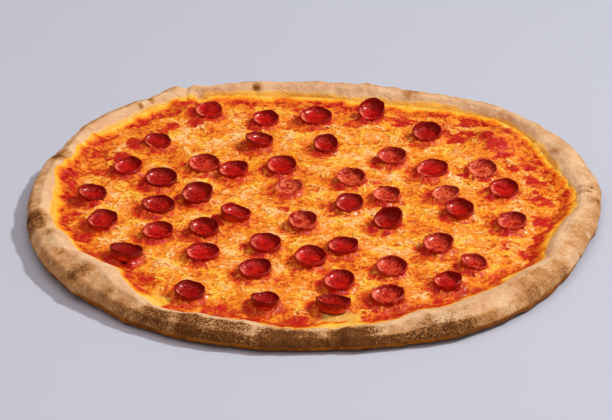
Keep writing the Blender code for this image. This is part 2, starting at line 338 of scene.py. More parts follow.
def felt_rim():
    """Each packed column's profile, as radius and height, from the toppings over the rim to the base."""
    solid = felt(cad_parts["crust"])
    profiles, feet, crests = [], [], []
    for angle in solid_angles():
        out = direction(angle)
        widest = 0.0
        for height in np.arange(3, 13, 1.0) * MM:
            hit = solid.ray_cast(out * OUTSIDE + Vector((0, 0, height)), -out, INWARDS)[0]
            widest = max(widest, hit.xy.length if hit else 0)
        tops = []
        for inset in np.arange(2, 34, 0.5) * MM:
            start = out * (widest - inset) + Vector((0, 0, OVERHEAD))
            hit = solid.ray_cast(start, Vector((0, 0, -1)))[0]
            tops.append((hit.z, hit.xy.length))
        crest, crest_radius = tops[0]
        for height, radius in tops:
            if height > crest:
                crest, crest_radius = height, radius
            elif height < crest - CREST_DIP:
                break
        core = out * crest_radius + Vector((0, 0, CORE_HEIGHT * crest))
        found = []
        for turn in FEELERS:
            feeler = out * math.cos(turn) + Vector((0, 0, math.sin(turn)))
            reach = (solid.ray_cast(core, feeler)[0] - core) * SWELL
            found.append(((core + reach).xy.length, max(0.0, (core + reach).z)))
        profiles.append(found)
        feet.append(widest - (widest - crest_radius) / CREST_SHARE)
        crests.append(crest_radius)
    return np.array(profiles), calmed(np.array(feet)), calmed(np.array(crests))


def calmed(values):
    """Values round the pie with the steps of feeling them taken off."""
    for _ in range(3):
        values = (np.roll(values, 1) + 2 * values + np.roll(values, -1)) / 4
    return values


rim_profiles, rim_feet, rim_crests = felt_rim()


def evenly(profile, rows):
    """A profile with its points spaced evenly along it, and its corners eased."""
    for _ in range(3):
        profile[1:-1] = (profile[:-2] + 2 * profile[1:-1] + profile[2:]) / 4
    along = np.concatenate([[0], np.cumsum(np.hypot(*np.diff(profile, axis=0).T))])
    wanted = np.linspace(0, along[-1], rows)
    return np.stack([np.interp(wanted, along, profile[:, k]) for k in (0, 1)], axis=1)


def bake_crust():
    columns = np.array([evenly(profile.copy(), CRUST_ROWS) for profile in rim_profiles])
    profile = rounded(columns, CRUST_COLUMNS)
    turn = math.tau * np.arange(CRUST_COLUMNS) / CRUST_COLUMNS
    away = np.stack([np.cos(turn), np.sin(turn)], axis=1)

    def ring(radius, height):
        flat = away * np.asarray(radius).reshape(-1, 1)
        return np.column_stack([flat, np.broadcast_to(height, CRUST_COLUMNS)])

    rim = np.stack([ring(profile[:, row, 0], profile[:, row, 1]) for row in range(CRUST_ROWS)])
    along = np.gradient(rim, axis=0)
    across = (np.roll(rim, -1, axis=1) - np.roll(rim, 1, axis=1)) / 2
    normal = np.cross(along, across)
    normal /= np.linalg.norm(normal, axis=2, keepdims=True) + 1e-12

    flat = rim.reshape(-1, 3)
    height = flat[:, 2]
    lie = np.repeat(np.linspace(0, 1, CRUST_ROWS), CRUST_COLUMNS)
    angle = np.degrees(np.arctan2(flat[:, 1], flat[:, 0])) % 360
    facing = normal.reshape(-1, 3)
    radius = np.hypot(flat[:, 0], flat[:, 1])
    outward = (facing[:, :2] * flat[:, :2]).sum(axis=1) / radius
    foot, crest = (np.tile(rounded(r, CRUST_COLUMNS), CRUST_ROWS) for r in (rim_feet, rim_crests))
    climb = (radius - foot) / (crest - foot)

    front = fade(np.abs(angle - 269), 54, 22)
    heat = spots(flat, TOASTED)
    crease = creased(flat, CREASES)
    patch = grain(flat, 26 * MM, 3)
    outer = fade(outward, -0.05, 0.55)
    shoulder = fade(outward + 0.25 * patch + 0.2 * front, 0.0, 0.70)
    toast = 0.02 + 0.34 * outer + 0.75 * heat * (0.75 + 0.6 * patch) + 0.25 * patch + 0.35 * crease
    # Painted shade: the outer face on the side nearest the viewer is darkened through the toast value, on top
    # of its real toasting.
    toast += 0.50 * front * fade(outward, 0.0, 0.6) - 0.25 * fade(climb, 1.0, 0.4) * (1 - heat)
    speckle = shoulder * (0.25 + 0.85 * front) + 0.7 * heat * fade(outward, -0.7, 0.1) + 0.3 * patch - 0.15
    speckle *= fade(facing[:, 2], -0.10, 0.15)
    # Real deck browning with painted shade: faces turned down are marked for the dark underside colour.
    under = fade(facing[:, 2], 0.06, -0.25)
    oil = fade(climb + 0.15 * patch, 0.60, 0.30)

    near, number = cells(flat, BLISTER_PITCH)
    blister = fade(near, 0.42, 0.08) * (number > 0.15)
    rise = BLISTER_HEIGHT * blister + MM * (spots(flat, PUFFS) - crease)
    for size, depth in LUMPS:
        rise = rise + depth * grain(flat, size, 2)
    rise += WRINKLES[1] * (1 - 2 * np.abs(grain(flat, WRINKLES[0], 2))) * np.clip(speckle, 0, 1)
    rise *= fade(height, 0.0, 4 * MM) * fade(lie, 0.0, 0.1)
    flat = flat + facing * rise[:, None]
    over = np.maximum(flat[:, 2] - HIGHEST, 0)
    flat[:, 2] = np.maximum(flat[:, 2] - 0.75 * over, 0)
    rim = flat.reshape(rim.shape)

    inner = rim[0].copy()
    floor = [ring(share * np.hypot(inner[:, 0], inner[:, 1]), DOUGH_LEVEL) for share in DOUGH_SHARES]
    toe = np.hypot(rim[-1][:, 0], rim[-1][:, 1])
    base = []
    for share in UNDER_SHARES:
        made = ring(share * toe, 0.0)
        made[:, 2] = UNDER_LUMPS[1] * np.clip(grain(made, UNDER_LUMPS[0], 2), 0, 1)
        base.append(made)
    rings = [*floor, *rim, *base]
    before, after = len(floor) * CRUST_COLUMNS + 1, len(base) * CRUST_COLUMNS + 1

    def whole(values, first, last):
        return np.concatenate([np.full(before, first), values, np.full(after, last)])

    attributes = {
        "toast": whole(toast, 0, 1),
        "speckle": whole(np.clip(speckle, 0, 1), 0, 0),
        "oil": whole(oil, 1, 0),
        "under": whole(under, 0, 1),
    }
    top, bottom = [(0, 0, DOUGH_LEVEL)], [(0, 0, 0)]
    return closed_skin("baked_crust", top, rings, bottom, attributes, baked_dough())


baked_crust = bake_crust()
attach(baked_crust, "root")
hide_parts("crust")


# The tomato sauce is a thin wet layer over the dough, cooked down to red pulp. It shows as a ring
# between the cheese and the rim, and its orange oil creeps up the bread and soaks in there.

SAUCE_COLUMNS = 900
SAUCE_LEVEL = 6.0 * MM
SAUCE_SHARES = np.linspace(0.80, 1.0, 34)      # of the way from the middle to the foot of the rim
SAUCE_CLIMB_ROWS = 20
SAUCE_PULP = ((7 * MM, 0.55 * MM), (3 * MM, 0.25 * MM))
SAUCE_BANK = 11 * MM        # inside the foot of the rim, where the sauce starts to bank up against it
OIL_REACH = 12 * MM         # how far in from the sauce's edge its oil has separated
LEAST_CLIMB = 3 * MM        # up the rim
SAUCE_WANDER = (20 * MM, 4.0 * MM)      # of its edge, to and fro
SAUCE_FILM = 0.9 * MM       # thinnest over the bread, before it runs out up the rim
SAUCE_UNDERSIDE = 4.6 * MM

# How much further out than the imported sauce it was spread, in mm, by direction in degrees.
SPREAD = (
    (0, 0), (15, -1), (30, -6), (45, -3), (60, -5), (75, -9), (90, -5), (105, -9), (127, -4), (150, 0),
    (165, 6), (178, -2), (195, -3), (210, 0), (225, -2), (240, -5), (252, -1), (262, 5), (275, 0),
    (292, 4), (307, 0), (345, -2),
)

# Where bare oily bread shows inside the rim: x, y and reach in mm, then how much.
OILY_BREAD = (
    (20, -190, 30, 1.1), (-119, -153, 17, 1.1), (148, -124, 13, 1.0), (-198, 6, 9, 0.4),
    (-163, 138, 10, 0.4), (190, 38, 12, 0.6),
)


def tomato_sauce():
    made, sauce = blank("tomato_sauce")
    oily = sauce.attribute("oily")
    pulp = sauce.mottle(3.2 * MM, 3.0, 0.9)
    wide = sauce.mottle(10 * MM, 2.0, 0.5, 0.4)
    red = pulp.eased(0.36, 0.62).blend((0.34, 0.004, 0.002), (0.60, 0.030, 0.010))
    colour = (wide + (pulp - 0.5) * 0.4).eased(0.46, 0.66).blend(red, (0.66, 0.14, 0.008))
    edge = oily + (wide - 0.5) * 0.60 + (pulp - 0.5) * 0.45
    colour = edge.eased(0.40, 0.62).blend(colour, (0.76, 0.15, 0.007))
    colour = edge.eased(0.60, 0.90).blend(colour, (0.89, 0.40, 0.018))
    colour = edge.eased(0.85, 1.12).blend(colour, (0.84, 0.48, 0.085))
    wet = (1 - edge.eased(0.3, 0.8)) * pulp.eased(0.35, 0.55)
    rough = 0.34 + (pulp - 0.5) * 0.2 + edge.eased(0.6, 1.1) * 0.3
    return finish(
        made, colour, rough, pulp, 1.1 * MM, wet * 0.5, Specular_IOR_Level=0.15, Coat_Roughness=0.14
    )


def level_on(tree, x, y, missing):
    """The height of a surface at each place, felt from above."""
    down, found = Vector((0, 0, -1)), []
    for place in zip(x.ravel().tolist(), y.ravel().tolist()):
        hit = tree.ray_cast(Vector((*place, OVERHEAD)), down)[0]
        found.append(hit.z if hit else missing)
    return np.array(found).reshape(x.shape)


crust_skin = felt(baked_crust)
sauce_solid = felt(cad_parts["sauce"])


def spread_sauce():
    edges = []
    for angle in solid_angles():
        out = direction(angle)
        reach = 0.0
        for height in np.arange(6, 24, 0.5) * MM:
            hit = sauce_solid.ray_cast(out * OUTSIDE + Vector((0, 0, height)), -out, INWARDS)[0]
            if hit:
                reach = max(reach, hit.xy.length)
        edges.append(reach)
    edge = rounded(np.array(edges), SAUCE_COLUMNS)
    foot = rounded(rim_feet, SAUCE_COLUMNS)
    turn = math.tau * np.arange(SAUCE_COLUMNS) / SAUCE_COLUMNS
    away = np.stack([np.cos(turn), np.sin(turn)], axis=1)
    wander = SAUCE_WANDER[1] * grain(np.column_stack([away * 0.2, turn * 0]), SAUCE_WANDER[0], 3, 5.0)
    spread = np.interp(np.degrees(turn), *np.transpose(SPREAD), period=360)
    edge = np.maximum(edge + wander + MM * spread, foot + LEAST_CLIMB)

    banked = foot - SAUCE_BANK
    low = level_on(sauce_solid, *(away * banked[:, None]).T, SAUCE_LEVEL)
    high = level_on(crust_skin, *(away * edge[:, None]).T, SAUCE_LEVEL)

    shares = [*SAUCE_SHARES, *(1 + np.arange(1, SAUCE_CLIMB_ROWS + 1) / SAUCE_CLIMB_ROWS)]
    top, oily = [], []
    for share in shares:
        radius = foot * share if share <= 1 else foot + (edge - foot) * (share - 1)
        flat = away * radius[:, None]
        bread = level_on(crust_skin, flat[:, 0], flat[:, 1], 0.0)
        lump = sum(depth * grain(np.column_stack([flat, turn * 0]), size, 2) for size, depth in SAUCE_PULP)
        packed = level_on(sauce_solid, flat[:, 0], flat[:, 1], 0.0)
        climb = max(0.0, share - 1)
        film = (1.0 - climb) ** 0.7 * SAUCE_FILM
        level = np.maximum(packed, bread + film) + lump * (1 - climb)
        if share > 1:
            level = bread + film + lump * (1 - climb) * 0.6
        ramp = np.clip((radius - banked) / (edge - banked), 0, 1)
        level = np.maximum(level, low + (high - low) * ramp ** 1.4 + 0.5 * lump)
        level = np.maximum(level, bread + 0.05 * MM * (climb < 1) - 0.35 * MM * (climb >= 1))
        top.append(np.column_stack([flat, level]))
        soaked = 1 - (edge - radius) / OIL_REACH
        soaked = soaked + 0.8 * spots(flat, OILY_BREAD)
        oily.append(soaked + 0.30 * grain(np.column_stack([flat, turn * 0]), 11 * MM, 2, 8.0))
    flat_level = np.full(SAUCE_COLUMNS, SAUCE_LEVEL)
    inside = [np.column_stack([away * (foot * share)[:, None], flat_level]) for share in (0.3, 0.6)]
    under = []
    for ring in top[::-4]:
        below = ring.copy()
        bread = level_on(crust_skin, ring[:, 0], ring[:, 1], 5 * MM)
        below[:, 2] = np.minimum(ring[:, 2] - 0.6 * MM, bread - 0.5 * MM)
        below[:, :2] *= 0.9995
        under.append(below)
    rings = [*inside, *top, *under]
    before, after = len(inside) * SAUCE_COLUMNS + 1, len(under) * SAUCE_COLUMNS + 1
    attributes = {"oily": np.concatenate([np.zeros(before), *oily, np.ones(after)])}
    middle, bottom = [(0, 0, SAUCE_LEVEL)], [(0, 0, SAUCE_UNDERSIDE)]
    return closed_skin("tomato_sauce", middle, rings, bottom, attributes, tomato_sauce())


sauce = spread_sauce()
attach(sauce, "root")
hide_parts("sauce")


# The cheese was shredded and scattered over the sauce, and melted into one sheet. It is golden where
# it lies thick, red where sauce and oil came through, and toasted in small brown specks on its highs.
# The sheet is a fine grid over the imported one; loose shreds that kept their shape lie on it.
# Beside each slice, on the side its shadow falls, the red is partly spilt oil and partly painted shade.

CHEESE_GRID = 308
CHEESE_EDGE = 1.03          # of the way to the foot of the rim, where the sheet ends under the sauce
CHEESE_LUMPS = (12 * MM, 0.60 * MM)
CHEESE_STRINGS = ((8.0 * MM, 0.50 * MM), (4.6 * MM, 0.22 * MM))     # spacing and height of melted shreds
CHEESE_LEVEL = 7.2 * MM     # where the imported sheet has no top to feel
CHEESE_UNDERSIDE = 5.2 * MM
CHEESE_FILM = 0.45 * MM     # thinnest over the sauce
OIL_AND_SHADE_SHIFT = (-0.34, -0.14)  # where a slice's red oil pooled beside it, on the side its shadow falls, where it also serves as painted shade; in half widths of its mouth

# Where sauce came through the cheese: x, y and reach in mm, then how much.
RED_PATCHES = (
    (-193, -14, 16, 1.0), (-188, 30, 13, 0.9), (-170, 62, 17, 1.3), (-160, 88, 16, 1.3),
    (-146, 112, 15, 1.3), (-128, 134, 15, 1.2), (-100, 152, 14, 1.0), (-80, 166, 13, 0.9),
    (-60, 172, 16, 0.6), (-10, 178, 20, 0.7), (25, 176, 15, 0.9), (75, 158, 22, 1.0),
    (112, 148, 18, 1.0), (118, 118, 13, 1.0),
    (156, 88, 15, 1.0), (163, 68, 12, 0.9), (181, 40, 15, 0.9), (180, 10, 17, 1.1),
    (186, -22, 14, 1.0), (155, -62, 15, 0.6), (165, -80, 15, 0.9), (140, -118, 14, 1.0),
    (128, -140, 15, 0.9), (96, -158, 16, 0.9), (60, -178, 13, 0.9), (-12, -186, 14, 1.1),
    (-42, -183, 12, 0.9), (-75, -172, 17, 1.0), (-110, -140, 15, 0.9), (-128, -118, 13, 1.1),
    (-142, -98, 12, 1.1), (-180, -52, 14, 1.1), (-175, -68, 12, 0.8), (-70, 36, 13, 0.5),
    (75, 42, 14, 0.5), (10, -112, 15, 0.5), (-104, 22, 12, 0.4), (118, 30, 13, 0.5),
    (60, 62, 12, 0.4), (-30, -95, 12, 0.4), (140, -12, 13, 0.5), (40, -92, 13, 0.5),
    (126, 128, 15, 1.3), (150, 103, 15, 1.3), (128, 152, 13, 1.1), (174, 72, 12, 1.2), (176, 48, 13, 1.3),
    (176, 22, 13, 1.2), (178, -24, 12, 1.2), (50, 76, 13, 0.8), (72, 78, 10, 0.7), (-118, 148, 12, 1.1),
    (-150, 120, 12, 1.0), (150, -70, 11, 0.8), (30, 148, 14, 0.7), (5, -168, 13, 0.8), (78, -172, 12, 1.0),
    (40, -182, 16, 1.1), (110, 132, 12, 1.2), (142, 116, 12, 1.3), (-85, 24, 12, 0.8), (75, 176, 12, 0.9),
    (-25, -5, 10, 0.6), (-25, -125, 12, 0.6), (52, 40, 12, 0.7), (0, 28, 10, 0.6),
)

# Where the cheese lies thick and pale, and where it lies thin and dark: x, y and reach in mm, how much.
THICK_PLACES = (
    (100, 100, 20, 0.40), (162, -62, 22, 0.45), (-100, -100, 22, 0.50), (-75, -25, 20, 0.45),
    (-36, 50, 24, 0.30), (25, 50, 20, 0.25), (50, -125, 20, 0.35), (-100, 148, 18, 0.35),
    (-125, 75, 16, 0.35), (75, 125, 16, 0.35), (125, 50, 18, 0.40), (0, -125, 18, 0.25),
    (75, -75, 18, 0.35), (-75, -30, 16, 0.30),
)
THIN_PLACES = (
    (-100, 25, 20, 0.40), (-100, -25, 16, 0.30), (-25, -125, 22, 0.35), (150, -100, 18, 0.40),
    (125, 120, 22, 0.50), (150, 100, 20, 0.40),
)

# Where the bread's bubbles lifted the cheese and it browned: x, y and reach in mm, then how much.
BLISTERS = ((152, 118, 32, 1.0), (-110, 184, 20, 0.7))


def slice_places():
    """Middle and half width of each packed slice's mouth."""
    found = []
    for name in sorted(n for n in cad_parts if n.startswith("pepperoni")):
        low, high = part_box(name)
        found.append(((low[0] + high[0]) / 2, (low[1] + high[1]) / 2, (high[0] - low[0]) / 2))
    return found


def melted_cheese():
    made, cheese = blank("melted_cheese")
    thick, red, brown, bread = (cheese.attribute(key) for key in ("thick", "red", "brown", "bread"))
    blobs = cheese.mottle(4.6 * MM, 2.0, 0.5)
    bits = cheese.mottle(2.3 * MM, 1.0, 0.4, 0.5)
    threads = 1 - abs(cheese.mottle(6.0 * MM, 1.0, 1.2, 0.3) - 0.5) * 9
    wide = cheese.mottle(17 * MM, 2.0, 0.3, 0.2)
    gold = cheese.mottle(11 * MM, 2.0, 0.5, 0.8).eased(0.42, 0.60)
    melt = -0.02 + thick * 0.8 + (blobs - 0.5) * 1.5 + (bits - 0.5) * 1.0
    melt = melt + (wide - 0.5) * 0.8 + threads.eased(0.2, 0.9) * 0.22
    colour = melt.eased(-0.42, 0.16).blend((0.52, 0.040, 0.003), (0.82, 0.22, 0.008))
    colour = melt.eased(0.16, 0.44).blend(colour, gold.blend((0.84, 0.28, 0.040), (0.87, 0.35, 0.016)))
    colour = melt.eased(0.42, 0.82).blend(colour, gold.blend((0.96, 0.54, 0.22), (0.95, 0.51, 0.060)))
    soaked = (bread + (blobs - 0.5) * 0.5).eased(0.35, 0.8)
    oily_bread = wide.eased(0.4, 0.6).blend((0.90, 0.46, 0.035), (0.74, 0.43, 0.085))
    colour = (soaked * 0.9).blend(colour, oily_bread)
    stain = red - bread * 1.2 + threads.eased(0.2, 0.9) * -0.20
    stain = stain + (wide - 0.5) * 0.5 + (blobs - 0.5) * 0.9 + (bits - 0.5) * 0.6
    colour = stain.eased(0.26, 0.50).blend(colour, (0.64, 0.055, 0.005))
    colour = stain.eased(0.50, 0.80).blend(colour, (0.48, 0.010, 0.003))
    speck = cheese.dots(6.0 * MM, 0.1)
    toasted = (brown + (0.34 - speck) * 1.4 + (bits - 0.5) * 1.2 - thick * 0.2).eased(0.05, 0.55)
    colour = (toasted * 0.7).blend(colour, (0.60, 0.150, 0.008))
    wet = cheese.mottle(7 * MM, 2.0, 0.4, 0.9).eased(0.45, 0.62)
    rough = 0.42 + (bits - 0.5) * 0.3
    relief = blobs * 0.9 + bits * 0.6 + threads.eased(0.0, 0.9) * 0.35
    return finish(
        made, colour, rough, relief, 0.8 * MM, wet * 0.5, Specular_IOR_Level=0.25, Coat_Roughness=0.16
    )


cheese_solid = felt(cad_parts["cheese"])
sauce_skin = felt(sauce)


def melt_cheese():
    side = np.linspace(-1, 1, CHEESE_GRID)
    u, v = np.meshgrid(side, side)
    x, y = u * np.sqrt(1 - v * v / 2), v * np.sqrt(1 - u * u / 2)
    share, turn = np.hypot(x, y), np.arctan2(y, x) % math.tau
    foot = np.interp(turn, math.tau * np.arange(SAUCE_COLUMNS + 1) / SAUCE_COLUMNS,
                     np.append(rounded(rim_feet, SAUCE_COLUMNS), rim_feet[0]))
    x, y = x * foot * CHEESE_EDGE, y * foot * CHEESE_EDGE
    level = level_on(cheese_solid, x, y, np.nan)
    gone = np.isnan(level)
    level[gone] = CHEESE_LEVEL
    for _ in range(6):
        eased = level.copy()
        eased[1:-1, 1:-1] = (
            level[1:-1, :-2] + level[1:-1, 2:] + level[:-2, 1:-1] + level[2:, 1:-1] + 2 * level[1:-1, 1:-1]
        ) / 6
        level = eased
    points = np.column_stack([x.ravel(), y.ravel(), level.ravel()])
    flat = points * (1, 1, 0)

    lump = grain(flat, CHEESE_LUMPS[0], 2, 3.0)
    strings = [1 - 4.5 * np.abs(grain(flat, size, 2, 7.0)) for size, _ in CHEESE_STRINGS]
    strings = [np.clip(string, -0.6, 1.0) for string in strings]
    thick = 0.24 + 0.40 * lump + 0.22 * strings[0] + 0.20 * strings[1] + 0.42 * grain(flat, 36 * MM, 2, 9.0)
    thick = thick + spots(flat, THICK_PLACES) - spots(flat, THIN_PLACES)
    to_edge = share.ravel() * CHEESE_EDGE
    ragged = 0.975 + 0.060 * grain(flat, 15 * MM, 3, 1.0)
    red = spots(flat, RED_PATCHES) * (0.85 + 0.8 * grain(flat, 8 * MM, 2, 2.0))
    red = red + 0.30 * grain(flat, 20 * MM, 2, 6.0)
    red -= 0.05 + 0.15 * strings[0]
    rise = CHEESE_LUMPS[1] * lump
    rise = rise + sum(tall * string for (_, tall), string in zip(CHEESE_STRINGS, strings))
    bed, hug = np.zeros(len(flat)), np.zeros(len(flat))
    for mouth_x, mouth_y, half in slice_places():
        away = np.hypot(flat[:, 0] - mouth_x, flat[:, 1] - mouth_y) / half
        # Spilt oil and painted shade: on the side each slice's shadow falls, the cheese is painted redder and
        # less golden.
        oil_shade_x, oil_shade_y = mouth_x + half * OIL_AND_SHADE_SHIFT[0], mouth_y + half * OIL_AND_SHADE_SHIFT[1]
        from_oil_and_shade = np.hypot(flat[:, 0] - oil_shade_x, flat[:, 1] - oil_shade_y) / half
        near = fade(from_oil_and_shade, 1.70, 1.05)
        red = np.maximum(red, near * (0.62 + 0.8 * lump - 0.15 * strings[0]))
        thick = thick - 0.40 * fade(from_oil_and_shade, 1.9, 1.3)
        bed = np.maximum(bed, fade(away, 1.12, 0.85))
        hug = np.maximum(hug, fade(away, 1.38, 1.0) * fade(away, 0.66, 0.88))
    rise = rise * (1 - 0.8 * bed) + (2.3 + 1.5 * lump + 0.9 * strings[1]) * MM * hug
    brown = -0.18 + 0.35 * lump - 0.25 * strings[1] + 0.45 * grain(flat, 24 * MM, 2, 4.0)
    bread = spots(flat, OILY_BREAD) * (1 + 0.5 * lump)
    rise = rise * (1 - 0.7 * np.clip(bread, 0, 1))
    swell = spots(flat, BLISTERS)
    brown = brown + 0.30 * swell
    thick = thick * (1 - 0.5 * swell)
    red = red + 0.18 * swell
    sink = fade(to_edge, ragged - 0.03, ragged + 0.03)
    thick = thick - 0.5 * fade(to_edge, ragged - 0.10, ragged)
    pulp = level_on(sauce_skin, points[:, 0], points[:, 1], SAUCE_LEVEL)
    above = np.maximum(points[:, 2] + rise, pulp + CHEESE_FILM + 0.5 * rise)
    points[:, 2] = above + (pulp - 1.2 * MM - above) * sink

    number = np.arange(CHEESE_GRID * CHEESE_GRID).reshape(CHEESE_GRID, CHEESE_GRID)
    quads = np.stack([number[:-1, :-1], number[:-1, 1:], number[1:, 1:], number[1:, :-1]], axis=-1)
    faces = [tuple(quad) for quad in quads.reshape(-1, 4).tolist()]
    rim = np.concatenate([number[0, :-1], number[:-1, -1], number[-1, :0:-1], number[:0:-1, 0]])
    skirt = points[rim] * (0.998, 0.998, 0) + (0, 0, CHEESE_UNDERSIDE)
    base, count = len(points), len(rim)
    for here in range(count):
        there = (here + 1) % count
        faces.append((int(rim[there]), int(rim[here]), base + here, base + there))
        faces.append((base + count, base + there, base + here))
    points = np.vstack([points, skirt, [(0, 0, CHEESE_UNDERSIDE)]])
    kept = fade(thick, -0.1, 0.5) * (0.2 + 0.8 * fade(red, 0.9, 0.3)) * (1 - bed) * fade(to_edge, 0.96, 0.92)
    rest = np.zeros(count + 1)
    attributes = {
        "thick": np.concatenate([thick, rest]),
        "red": np.concatenate([np.clip(red, -0.5, 1.3), rest + 1]),
        "brown": np.concatenate([brown, rest]),
        "bread": np.concatenate([bread, rest]),
        "shreds": np.concatenate([kept, rest]),
    }
    return skin("melted_cheese", points, faces, attributes, melted_cheese())


cheese = melt_cheese()
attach(cheese, "root")
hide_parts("cheese")


# Shreds of the cheese that kept their shape lie all over the sheet, half sunk in it. They are short bent
# strings, paler than the melt between them. A node tree strews them where the sheet's "shreds" value is high.

SHREDS = {
    "Per square metre": 26000.0,
    "Length": 9.5 * MM,
    "Width": 3.2 * MM,
    "Bend": 10.0 * MM,
    "Sunk": 0.14 * MM,
    "Seed": 4,
}
SHRED_POINTS = 7
SHRED_SIDES = 6
SHRED_FLATNESS = 0.26
SHRED_PALER = 0.34          # added to the sheet's own thickness tone


def strewn_shreds():
    tree = bpy.data.node_groups.new("strewn_shreds", "GeometryNodeTree")
    kinds = ["Geometry", *("Int" if isinstance(value, int) else "Float" for value in SHREDS.values())]
    for name, kind in zip(["Sheet", *SHREDS], kinds):
        tree.interface.new_socket(name, in_out="INPUT", socket_type="NodeSocket" + kind)
    tree.interface.new_socket("Shreds", in_out="OUTPUT", socket_type="NodeSocketGeometry")
    start = tree.nodes.new("NodeGroupInput")
    sheet, many, length, width, bend, sunk, seed = (Tone(tree, start.outputs[k]) for k in range(7))
    add = {"operation": "ADD"}

    where = sheet.node("GeometryNodeInputNamedAttribute", {"data_type": "FLOAT"}, {"Name": "shreds"})
    points = sheet.node(
        "GeometryNodeDistributePointsOnFaces", {}, {"Mesh": sheet, "Density": many * where, "Seed": seed}
    )
    spin = sheet.node(
        "FunctionNodeRandomValue", {"data_type": "FLOAT_VECTOR"}, {0: (0, 0, 0), 1: (0, 0, math.tau), 8: seed}
    )
    turned = sheet.node(
        "FunctionNodeRotateRotation",
        {"rotation_space": "LOCAL"},
        {"Rotation": points.beside("Rotation"), "Rotate By": spin},
    )
    scale = sheet.node("FunctionNodeRandomValue", {"data_type": "FLOAT"}, {2: 0.5, 3: 1.5, 8: seed}, output=1)
    line = sheet.node("GeometryNodeCurvePrimitiveLine", {}, {"Start": (-0.5, 0, 0), "End": (0.5, 0, 0)})
    line = sheet.node("GeometryNodeResampleCurve", {}, {"Curve": line, "Count": SHRED_POINTS})
    strings = sheet.node(
        "GeometryNodeInstanceOnPoints",
        {},
        {"Points": points, "Instance": line, "Rotation": turned, "Scale": length * scale},
    )
    strings = sheet.node("GeometryNodeRealizeInstances", {}, {"Geometry": strings})

    place = sheet.node("GeometryNodeInputPosition")
    sway = sheet.node("TexNoise", {}, {"Vector": place, "Scale": 1 / (6 * MM), "Detail": 1.0}, output="Color")
    sway = sheet.node("VectorMath", {"operation": "SUBTRACT"}, {0: sway, 1: (0.5, 0.5, 0.5)})
    sway = sheet.node("VectorMath", {"operation": "SCALE"}, {0: sway, "Scale": bend})
    strings = sheet.node("GeometryNodeSetPosition", {}, {"Geometry": strings, "Offset": sway})
    above = sheet.node("VectorMath", add, {0: place, 1: (0, 0, 0.03)})
    landed = sheet.node(
        "GeometryNodeRaycast",
        {},
        {"Target Geometry": sheet, "Source Position": above, "Ray Direction": (0, 0, -1), "Ray Length": 0.1},
        output="Hit Position",
    )
    lift = sheet.node("CombineXYZ", {}, {"Z": 0 - sunk})
    laid = sheet.node("VectorMath", add, {0: landed, 1: lift})
    strings = sheet.node("GeometryNodeSetPosition", {}, {"Geometry": strings, "Position": laid})
    strings = sheet.node("GeometryNodeSetCurveNormal", {"mode": "Z_UP"}, {"Curve": strings})

    along = sheet.node("GeometryNodeSplineParameter")
    taper = along * (1 - along) * 4
    taper = sheet.math("MAXIMUM", sheet.math("POWER", taper, 0.4), 0.35)
    profile = sheet.node("GeometryNodeCurvePrimitiveCircle", {}, {"Resolution": SHRED_SIDES, "Radius": 0.5})
    profile = sheet.node("GeometryNodeTransform", {}, {"Geometry": profile, "Scale": (1, SHRED_FLATNESS, 1)})
    mesh = sheet.node(
        "GeometryNodeCurveToMesh",
        {},
        {"Curve": strings, "Profile Curve": profile, "Scale": taper * width, "Fill Caps": True},
    )
    mesh = sheet.node("GeometryNodeSetShadeSmooth", {}, {"Geometry": mesh})
    mesh = sheet.node("GeometryNodeRealizeInstances", {}, {"Geometry": mesh})
    mesh = sheet.node("GeometryNodeSetMaterial", {}, {"Geometry": mesh, "Material": cheese.data.materials[0]})
    end = tree.nodes.new("NodeGroupOutput")
    tree.links.new(mesh.socket, end.inputs[0])
    return tree


def strew_shreds():
    made = bpy.data.objects.new("cheese_shreds", cheese.data)
    bpy.context.scene.collection.objects.link(made)
    strewn = made.modifiers.new("strewn", "NODES")
    strewn.node_group = strewn_shreds()
    for item in strewn.node_group.interface.items_tree:
        if item.name in SHREDS:
            strewn[item.identifier] = SHREDS[item.name]
    graph = bpy.context.evaluated_depsgraph_get()
    mesh = bpy.data.meshes.new_from_object(made.evaluated_get(graph), depsgraph=graph)
    made.modifiers.clear()
    made.data = mesh
    thick = mesh.attributes["thick"]
    values = np.zeros(len(mesh.vertices), np.float32)
    thick.data.foreach_get("value", values)
    thick.data.foreach_set("value", values + SHRED_PALER)
    return made


shreds = strew_shreds()
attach(shreds, "root")


# The pepperoni is thin slices of cured sausage whose edges curled up in the oven into small cups.
# Each is a glossy, fat-marbled bowl with a crisp dark lip. It is made from its imported solid's rings,
# with its facets rounded off and its lip and wall left a little uneven.
# Its inner walls carry a painted highlight on one side, and painted shade on the other side and deep in the
# bowl.

SLICE_SOLID_SIDES = 14
SLICE_SIDES = 42
FRONT_DROP = 1.1 * MM       # how much lower the lips were drawn by the heat on the side nearest the viewer
LIP_THINNED = 0.45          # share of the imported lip's thickness that is taken off inside
SHADED_WALL_SIDE = math.radians(25)           # the side of the inner wall painted in shade; the side across from it is painted pale as a highlight
SLICE_SUNK = 1.2 * MM       # how far the slice's skin goes down into the cheese under its foot

# How much of each part there is at the middle of the bowl, at each ring of points and under the foot. The
# inside part also darkens the bowl as painted shade; the wall part carries the inner walls' painted highlight
# and painted shade.
SLICE_PARTS = {
    "lip": [0, *[0] * 6, 0.2, 0.6, *[1] * 5, 0.5, 0.15, *[0] * 6, 0],
    "inside": [1, *[1] * 8, 0.6, *[0] * 12, 0],
    "foot": [0, *[0] * 14, 0.15, 0.35, 0.6, 0.85, *[1] * 3, 1],
    "dried": [0, 0, 0, 0.2, 0.5, 0.8, 1, 1, 0.8, 0.2, *[0] * 12, 0],
}

